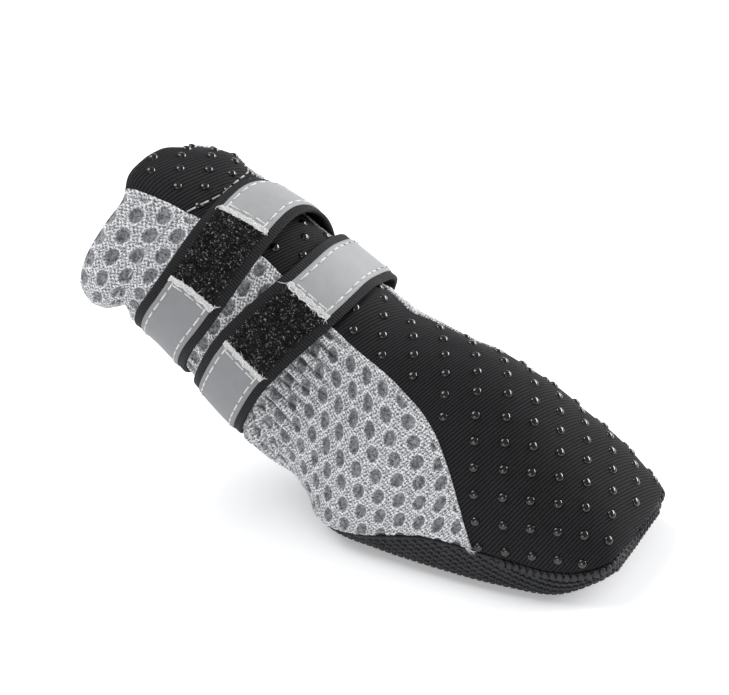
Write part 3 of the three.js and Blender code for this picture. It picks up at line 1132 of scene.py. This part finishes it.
def makeFray(name, node, at, way, seed):
    place = strapPlaces[node]
    random = np.random.default_rng(seed)
    across = np.linspace(tape["from"] - 0.2, tape["from"] + tape["width"] + 0.2, 60)
    p, n = strapPoints(place, [at, at + way * 3], across, strapSizes["thickness"] + 0.3)
    paths, radius = [], []
    for k in range(fray["count"]):
        j = random.integers(0, len(across))
        ahead = unit(p[1, j] - p[0, j])
        side = np.cross(n[0, j], ahead)
        loose = random.uniform() > fray["looseShare"] or j < 5 or j > 54
        size = random.uniform(*fray["long" if loose else "short"])
        drift = random.normal(0, 1.0 if loose else 0.35)
        rise, bow = random.uniform(0, 0.5), random.normal(0, 0.3)
        start = p[0, j] - ahead * fray["edge"] * 0.7 + n[0, j] * random.uniform(-0.05, 0.1)
        paths.append([start + ahead * size * f + n[0, j] * rise * f * size * 0.5
                      + side * (drift * f * f * size * 0.5 + bow * math.sin(math.pi * f))
                      for f in np.linspace(0, 1, 5)])
        radius.append(random.uniform(*fray["thin"]))
    # thick worn threads lying along the cut
    for k in range(fray["cutThreads"]):
        back = random.uniform(-0.15, 1.0) * fray["edge"]
        wave = random.uniform(0, 6.3)
        row, m = strapPoints(place, [at - way * back / degreeLength], across, strapSizes["thickness"] + 0.26)
        ahead = unit(p[1] - p[0])
        sway = 0.25 * np.sin(across * 1.7 + wave) + 0.12 * np.sin(across * 4.3 + 2 * wave)
        paths.append(row[0] + ahead * sway[:, None])
        radius.append(random.uniform(*fray["thick"]))
    return strands(name, paths, radius, whiteThread, sides=5)


strapPieces = {}
for seed, short in enumerate(("lower", "upper"), 1):
    node = "strap_" + short
    ends = tapeEnds[node]
    front, back = (tape["frontStart"], ends["front"]), (ends["back"], tape["backEnd"])
    strapPieces[node] = [
        makeWebbingStrap("webbing_" + short, node),
        makeTape("tape_front_" + short, node, *front, frontTape),
        makeTape("tape_back_" + short, node, *back, backTape),
        strapStitches("stitches_front_" + short, node, *front, ends["front"], 1),
        strapStitches("stitches_back_" + short, node, *back, ends["back"], -1),
        makePile("pile_" + short, node, ends["front"] + 0.5, ends["back"] - 0.5, 10 + seed),
        makeFray("fray_front_" + short, node, ends["front"], 1, 20 + seed),
        makeFray("fray_back_" + short, node, ends["back"], -1, 30 + seed),
    ]
print("straps made")


# dots on the front panel and stitches round the collar

# lattice of the dots in millimetres up the front and round it, towards the near side
dots = {"first": (30.9, 20.3), "row": (-7.4, -4.9), "column": (3.6, -6.2), "wide": 1.42, "high": 0.85,
        "fromEdge": 1.7, "reach": 34, "gathered": 158.0, "lineAt": 115, "last": 9.93,
        "sunk": 0.05}


def makeDots():
    frontArc = arcLength(formPoint(sideStations, math.radians(dots["lineAt"])))
    points, along, out = [], [], []
    for i in range(-dots["reach"], dots["reach"]):
        for j in range(-dots["reach"], dots["reach"]):
            s = dots["first"][0] + i * dots["row"][0] + j * dots["column"][0]
            w = dots["first"][1] + i * dots["row"][1] + j * dots["column"][1]
            if s < 9 or s > frontArc[-1] + 20 or abs(w) > 60:
                continue
            s = min(s, dots["gathered"]) + max(s - dots["gathered"], 0) / 1.5
            station = float(np.interp(s, frontArc, sideStations))
            p = formPoint(station, denseAngles)
            around = arcLength(p)
            end = seamAngle([station], 0.6)[0]
            if station > panelTip:
                end = min(end, border(np.array([station]), math.copysign(1, w))[0])
            if abs(w) > np.interp(end, denseAngles, around) - dots["fromEdge"] or station > dots["last"]:
                continue
            a = float(np.interp(abs(w), around, denseAngles))
            real = a if w > 0 else math.pi - a
            if any(strapLow(v, real) - 0.02 < station < strapLow(v, real) + strapSpan(v, real) + 0.02
                   and standOff(v, math.degrees(real), 0.3) < 1.6 for v in strapPlaces.values()):
                continue
            side = 1 if w > 0 else -1
            n = formNormal(station, np.array(a))
            q = formPoint(station + float(rimRise(station, real)), a)
            q = q + n * float(softShape(np.array(station), np.array(real)) * clearOfSeam(q, foldReach)
                              - dots["sunk"])
            points.append(onSide(q, side))
            along.append(onSide(formPoint(station + 0.02, a) - formPoint(station - 0.02, a), side))
            out.append(onSide(n, side))
    return scatter("rubber_dots", points, along, out, ball,
                   {"Length": dots["wide"], "Width": dots["wide"], "Height": dots["high"]}, rubberDot)


def makeHemStitches():
    degrees = np.linspace(90, 450, 1200)
    angle = np.radians(degrees)
    station = hemLine(angle)
    p, n = formPoint(station, angle), formNormal(station, angle)
    p = p + n * (softShape(station, angle) + 0.3 + 0.25)[:, None]
    arc = arcLength(p)
    at = np.arange(0, arc[-1] - hem["gap"], hem["length"] + hem["gap"])
    q = readOff(at, arc, p)
    d = readOff(at + 0.5, arc, p) - q
    return scatter("hem_stitches", q, d, unit(readOff(at, arc, n)), thread,
                   {"Height": hem["thick"], "Width": hem["thick"], "Length": hem["length"] / 2}, greyThread)


# loose yarns at the mesh's point
tipThreads = {"count": 9, "from": (-2.0, -0.9, 2.2), "reach": (1.2, 3.6), "thick": (0.06, 0.13)}


def makeTipThreads():
    random = np.random.default_rng(41)
    stations = np.linspace(panelTip, 5, 400)
    end = seamAngle(stations, -clothGap)
    first = int(np.argmax(border(stations) < end))
    p = formPoint(stations[first], end[first]) + np.array(tipThreads["from"])
    paths = []
    for k in range(tipThreads["count"]):
        reach, drop = random.uniform(*tipThreads["reach"]), random.normal(0, 0.7)
        bow = random.normal(0, 0.5)
        paths.append([p + np.array([0.2 + reach * f, -0.35 - 0.2 * f,
                                    drop * f * f + bow * math.sin(math.pi * f) - 0.5 * f])
                      for f in np.linspace(0, 1, 6)])
    radius = [random.uniform(*tipThreads["thick"]) for _ in paths]
    return strands("tip_threads", paths, radius, greyThread, sides=5)


upperPieces += [makeDots(), makeHemStitches(), makeTipThreads()]
print("dots and hem made")


# each piece hung on the root, and the CAD part it stands in for hidden

roles = [("upper", "upper_fabric", upperPieces), ("sole", "sole_rubber", solePieces),
         ("insole", "insole_fabric", [insolePiece])]
roles += [(node, "strap_webbing", pieces) for node, pieces in strapPieces.items()]
for node, slot, pieces in roles:
    for piece in pieces:
        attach(piece, "root")
        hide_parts(node)


# floor, light and camera

floorMaterial = Shade("paleFloor", Base_Color=(0.93, 0.93, 0.94), Roughness=0.85, Specular_IOR_Level=0.15,
                      Emission_Color=(1.0, 1.0, 1.0), Emission_Strength=0.25).material
floorSize = 3.0
floorPoints = np.array([[-1, -1], [1, -1], [1, 1], [-1, 1]]) * floorSize
floor = newObject("floor", np.hstack([floorPoints, np.full((4, 1), -0.0002)]),
                  np.array([[0, 1, 2, 3]]), False)
floor.data.materials.append(floorMaterial)


def areaLight(name, place, target, wide, tall, power):
    lamp = bpy.data.lights.new(name, "AREA")
    lamp.shape, lamp.size, lamp.size_y, lamp.energy = "ELLIPSE", wide, tall, power
    obj = bpy.data.objects.new(name, lamp)
    obj.location = place
    obj.rotation_euler = (Vector(place) - Vector(target)).to_track_quat("Z", "Y").to_euler()
    bpy.context.scene.collection.objects.link(obj)
    return obj


middle = (-0.03, 0, 0.04)
# place, width and height in metres, power
lights = {
    "keyLight": ((-0.75, -0.1, 1.15), 1.0, 1.0, 13.5),
    "rimLight": ((0.62, 0.95, 0.5), 1.5, 0.35, 18.0),
    "fillLight": ((0.3, -1.5, 0.5), 0.9, 0.9, 6.0),
}
for name, (place, wide, tall, power) in lights.items():
    areaLight(name, place, middle, wide, tall, power)

world = bpy.data.worlds.new("studio")
world.use_nodes = True
world.node_tree.nodes["Background"].inputs["Color"].default_value = (0.96, 0.98, 1.0, 1)
world.node_tree.nodes["Background"].inputs["Strength"].default_value = 0.36
bpy.context.scene.world = world
bpy.context.scene.view_settings.view_transform = "Standard"
bpy.context.scene.view_settings.look = "None"

view = {"azimuth": 29.28, "elevation": 32.6, "roll": -2.25, "distance": 775.0,
        "target": (-45.23, 19.1, 36.94), "lens": 126.3}


def makeCamera():
    a, e, roll = (math.radians(view[k]) for k in ("azimuth", "elevation", "roll"))
    back = Vector((math.sin(a) * math.cos(e), -math.cos(a) * math.cos(e), math.sin(e)))
    right = Vector((math.cos(a), math.sin(a), 0))
    up = back.cross(right)
    right, up = (right * math.cos(roll) + up * math.sin(roll),
                 up * math.cos(roll) - right * math.sin(roll))
    lens = bpy.data.cameras.new("camera")
    lens.lens, lens.sensor_width, lens.sensor_fit = view["lens"], 36.0, "HORIZONTAL"
    lens.clip_start, lens.clip_end = 0.01, 20
    obj = bpy.data.objects.new("camera", lens)
    turn = Matrix((right, up, back)).transposed().to_4x4()
    obj.matrix_world = Matrix.Translation((Vector(view["target"]) + back * view["distance"]) * mm) @ turn
    bpy.context.scene.collection.objects.link(obj)
    bpy.context.scene.camera = obj


makeCamera()
print("stage set")
